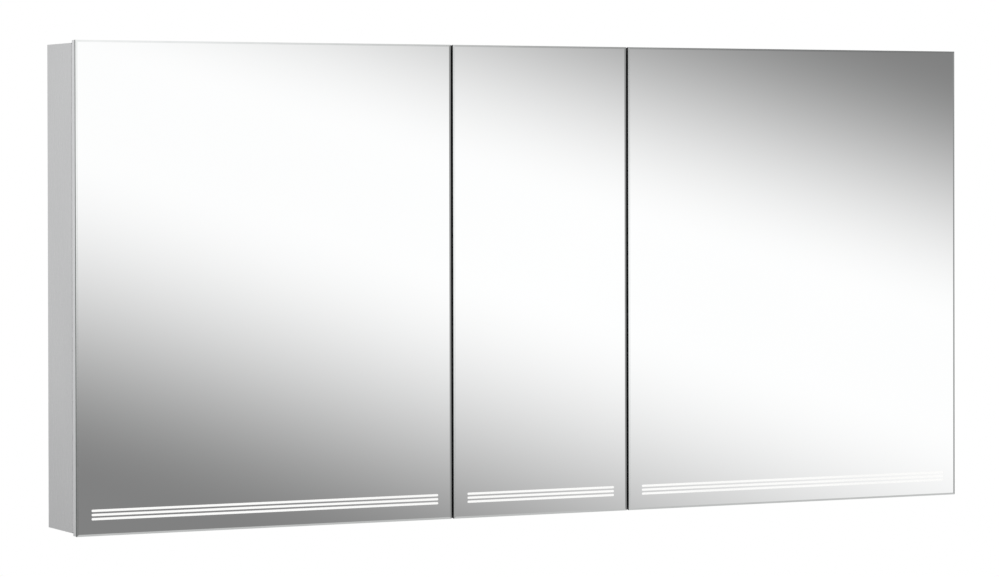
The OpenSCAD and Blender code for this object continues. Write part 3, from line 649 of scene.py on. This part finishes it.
def door_side_shade_tape(door):
    """Black edge tape on the frame where it faces a neighbouring door: painted shade for the gap between the
    doors.
    """
    pane_low, pane_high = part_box(door + "_door_mirror")
    low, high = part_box(door + "_door_frame")
    bm = bmesh.new()
    for outer, frame_x in ((pane_low.x, low.x), (pane_high.x, high.x)):
        if abs(outer) > JOINT_REACH:
            continue
        reach = outer + (frame_x - outer) * SHADE_TAPE_STEP
        add_box(bm, (min(reach, frame_x), low.y + SHADE_TAPE_MARGIN, low.z + SHADE_TAPE_MARGIN),
                (max(reach, frame_x), high.y - SHADE_TAPE_MARGIN, high.z - SHADE_TAPE_MARGIN))
    finished(bm, door + "_side_shade_tape", [GAP_SHADE_RUBBER], door + "_door")


# ---- small parts ----

def facing_bay(low):
    """+1 for hinges on a left edge, -1 for the right door's."""
    return 1 if low.x < BAY_TURN else -1


def bumpers():
    """Soft domes that meet the closed doors."""
    bm = bmesh.new()
    for low, high in islands("door_bumpers"):
        middle = (low + high) / 2
        radius = (high.x - low.x) / 2
        thick = high.y - low.y
        add_turned(bm, domed(radius, thick, BUMPER_STEP), (middle.x, high.y, middle.z), (0, -1, 0))
    bmesh.ops.recalc_face_normals(bm, faces=bm.faces)
    mark_smooth(bm)
    finished(bm, "bumper_domes", [SILICONE], "casing", ["door_bumpers"])


def plate_screws():
    """The mounting plates' screws, with cross recesses."""
    bm = welded("hinge_plate_screws")
    cutter = bmesh.new()
    for low, high in islands("hinge_plate_screws"):
        middle = (low + high) / 2
        head_x = high.x if facing_bay(low) > 0 else low.x
        add_cross(cutter, (head_x, middle.y, middle.z), 0)
    bm = less(bm, cutter)
    mark_smooth(bm)
    finished(bm, "plate_screws", [NICKEL], "casing", ["hinge_plate_screws"])


def adjusting_screws():
    """Two adjusting screws sunk in each hinge arm."""
    bm = bmesh.new()
    cutter = bmesh.new()
    for low, high in islands("hinge_arms"):
        side = facing_bay(low)
        face_x = high.x if side > 0 else low.x
        middle_z = (low.z + high.z) / 2
        head_x = face_x - side * ADJUSTER_SUNK
        for along, radius in ADJUSTERS:
            profile = domed(radius, ADJUSTER_LENGTH, ADJUSTER_LENGTH * ADJUSTER_SHOULDER)
            base = (head_x - side * ADJUSTER_LENGTH, low.y + along, middle_z)
            add_turned(bm, profile, base, (side, 0, 0))
            add_cross(cutter, (head_x, low.y + along, middle_z), 0)
    bm = less(bm, cutter)
    mark_smooth(bm)
    finished(bm, "adjusting_screws", [ZINC], "casing")


def cup_screws(door):
    """Two flat heads on the flange of each hinge cup."""
    bm = bmesh.new()
    cutter = bmesh.new()
    for low, high in islands(door + "_hinge_cups"):
        place_x = high.x - CUP_SCREW_INSET if facing_bay(low) > 0 else low.x + CUP_SCREW_INSET
        for place_z in (low.z + CUP_SCREW_INSET, high.z - CUP_SCREW_INSET):
            place = (place_x, high.y, place_z)
            profile = domed(CUP_SCREW_RADIUS, CUP_SCREW_HEIGHT, CUP_SCREW_HEIGHT / 2)
            add_turned(bm, profile, place, (0, 1, 0))
            add_cross(cutter, (place[0], high.y + CUP_SCREW_HEIGHT, place[2]), 1)
    bm = less(bm, cutter)
    mark_smooth(bm)
    finished(bm, door + "_cup_screws", [ZINC], door + "_door")


# ---- studio ----

def build_world():
    """Soft bands for the mirrors, plain white for the camera."""
    world = bpy.data.worlds.new("studio")
    bpy.context.scene.world = world
    world.use_nodes = True
    tree = world.node_tree
    tree.nodes.clear()
    link = tree.links.new

    def math_node(operation, *values):
        made = node(tree, "ShaderNodeMath", operation=operation)
        for socket, value in zip(made.inputs, values):
            if isinstance(value, (int, float)):
                socket.default_value = value
            else:
                link(value, socket)
        return made.outputs[0]

    def faded(value, start, end, low, high):
        made = node(tree, "ShaderNodeMapRange", interpolation_type="SMOOTHSTEP")
        put(made, **{"From_Min": start, "From_Max": end, "To_Min": low, "To_Max": high})
        link(value, made.inputs["Value"])
        return made.outputs["Result"]

    source = node(tree, "ShaderNodeTexCoord")
    split = node(tree, "ShaderNodeSeparateXYZ")
    link(source.outputs["Generated"], split.inputs[0])
    x, y, z = split.outputs
    azimuth = math_node("ARCTAN2", x, math_node("MULTIPLY", y, -1.0))
    elevation = math_node("ARCSINE", z)
    sideways = math_node("ARCSINE", x)
    turned = math_node("MAXIMUM", sideways, BAND_LEFT)
    slanting = math_node("MINIMUM", turned, BAND_LEFT + BAND_TURN)
    rise = math_node("MULTIPLY_ADD", sideways, HUMP_RISE, -HUMP_RISE * HUMP_START)
    fall = math_node("MULTIPLY_ADD", sideways, -HUMP_FALL, HUMP_FALL * BAND_LEFT)
    hump = math_node("MAXIMUM", math_node("MINIMUM", rise, fall), 0.0)
    slanting = math_node("ADD", slanting, hump)
    height = math_node("MAXIMUM", elevation, BAND_HEIGHT[0])
    height = math_node("MINIMUM", height, BAND_HEIGHT[1])
    across = math_node("ADD", height, math_node("MULTIPLY_ADD", slanting, BAND_SLOPE, -BAND_CENTRE))
    half_band = BAND_SLOPE * BAND_TURN / 2
    across = math_node("WRAP", across, half_band, -half_band)
    upper = faded(across, *BAND_UPPER, 1, BAND_DARK)
    lower = faded(math_node("MULTIPLY", across, -1.0), *BAND_LOWER, 1, BAND_DARK)
    band = math_node("MINIMUM", upper, lower)

    def over(base, cover, amount):
        kept = math_node("MULTIPLY", base, math_node("SUBTRACT", 1.0, amount))
        return math_node("MULTIPLY_ADD", amount, cover, kept)

    # Behind the cabinet the light is even, and darker below
    back = faded(elevation, *BACK_GROUND_FADE, BACK_GROUND, BACK_LEVEL)
    wide = over(band, back, faded(math_node("ABSOLUTE", azimuth), *BACK_FADE, 0, 1))

    # A dark flag at the right gives the mirrors' right edges their grey line
    beside = math_node("MULTIPLY", faded(azimuth, *FLAG_LEFT, 0, 1), faded(azimuth, *FLAG_RIGHT, 1, 0))
    near = faded(math_node("ABSOLUTE", elevation), *FLAG_HEIGHT, 1, 0)
    flagged = over(wide, FLAG_LEVEL, math_node("MULTIPLY", beside, near))
    level = math_node("MULTIPLY", flagged, faded(elevation, *GROUND_FADE, GROUND_LEVEL, 1))
    level = over(level, FLOOR_LEVEL, faded(elevation, *FLOOR_FADE, 1, 0))
    bands = node(tree, "ShaderNodeBackground")
    link(level, bands.inputs["Color"])
    put(bands, Strength=BAND_LEVEL)
    plain = put(node(tree, "ShaderNodeBackground"), Color=(1, 1, 1, 1), Strength=1.0)
    path = node(tree, "ShaderNodeLightPath")
    choose = node(tree, "ShaderNodeMixShader")
    link(path.outputs["Is Camera Ray"], choose.inputs["Fac"])
    link(bands.outputs[0], choose.inputs[1])
    link(plain.outputs[0], choose.inputs[2])
    out = node(tree, "ShaderNodeOutputWorld")
    link(choose.outputs[0], out.inputs["Surface"])


def area_light(name, place, target, size, power):
    data = bpy.data.lights.new(name, "AREA")
    data.shape = "RECTANGLE"
    data.size = size[0]
    data.size_y = size[1]
    data.energy = power
    lamp = bpy.data.objects.new(name, data)
    lamp.location = place
    aim = Vector(target) - Vector(place)
    lamp.rotation_euler = aim.to_track_quat("-Z", "Y").to_euler()
    lamp.visible_glossy = False
    lamp.visible_camera = False
    bpy.context.scene.collection.objects.link(lamp)


def build_floor():
    bm = bmesh.new()
    bmesh.ops.create_circle(bm, cap_ends=True, radius=FLOOR_RADIUS, segments=FLOOR_STEPS)
    mesh = bpy.data.meshes.new("floor")
    bm.to_mesh(mesh)
    bm.free()
    floor = bpy.data.objects.new("floor", mesh)
    floor.location = (0, 0, cad_low.z - FLOOR_DROP)
    paint = surface("floor_paint", ((0.88, 0.88, 0.88), (0.91, 0.91, 0.91)), 0.0, (0.6, 0.75),
                    tone=(0.6, (1, 1, 1)), grain=(60, (1, 1, 1)), bump=(0.05, 0.0002))
    mesh.materials.append(paint)
    bpy.context.scene.collection.objects.link(floor)


def build_camera():
    data = bpy.data.cameras.new("camera")
    data.lens = CAMERA_LENS
    data.sensor_width = SENSOR_WIDTH
    data.shift_y = CAMERA_SHIFT
    data.clip_end = CLIP_END
    camera = bpy.data.objects.new("camera", data)
    camera.location = CAMERA_PLACE
    aim = Euler((math.pi / 2 - CAMERA_PITCH, 0, -CAMERA_YAW)).to_matrix()
    camera.rotation_euler = (aim @ Matrix.Rotation(CAMERA_ROLL, 3, "Z")).to_euler()
    bpy.context.scene.collection.objects.link(camera)
    bpy.context.scene.camera = camera


# ---- assembly ----

for part in ("casing_top", "casing_bottom", "casing_left", "casing_right", "left_partition",
             "right_partition"):
    refined(part, SECTION_ROUND)
for part in ("back_brace", "light_covers", "led_carriers", "wall_rail", "hangers", "wall_tabs",
             "driver_case", "driver_lid", "terminal_block", "light_lenses"):
    refined(part, SHEET_ROUND)
for part in ("hinge_plates", "hinge_arms", "switch_housing", "switch_button", "shelf_pins"):
    refined(part, SHEET_ROUND)
for door in DOORS:
    door_pane(door)
    refined(door + "_door_frame", DOOR_ROUND, FRAME_ALUMINIUM)
    door_side_shade_tape(door)
    refined(door + "_door_light_box", SHEET_ROUND)
    rimmed(door + "_door_inner_mirror", MIRROR_ROUND, MIRROR, GROUND_EDGE, 1)
    for part in ("_hinge_cups", "_hinge_cranks", "_hinge_links"):
        refined(door + part, DOOR_ROUND)
    cup_screws(door)
    painted(door + "_door_core")
for part in ("side_shelves", "middle_shelves"):
    rimmed(part, SHELF_ROUND, SHELF_GLASS, SHELF_RIM, 2)
for part in ("side_back_mirrors", "middle_back_mirror"):
    rimmed(part, MIRROR_ROUND, MIRROR, GROUND_EDGE, 1)
for part in ("corner_keys", "casing_screws", "back_board", "hanger_screws", "led_boards", "driver_board",
             "cable_gland", "wiring", "hinge_arm_pins"):
    painted(part)

bumpers()
plate_screws()
adjusting_screws()
casing_seals()

build_world()
build_floor()
build_camera()
area_light("key", KEY_PLACE, (0, 0, 0), KEY_SIZE, KEY_POWER)

bpy.context.scene.view_settings.view_transform = "Standard"
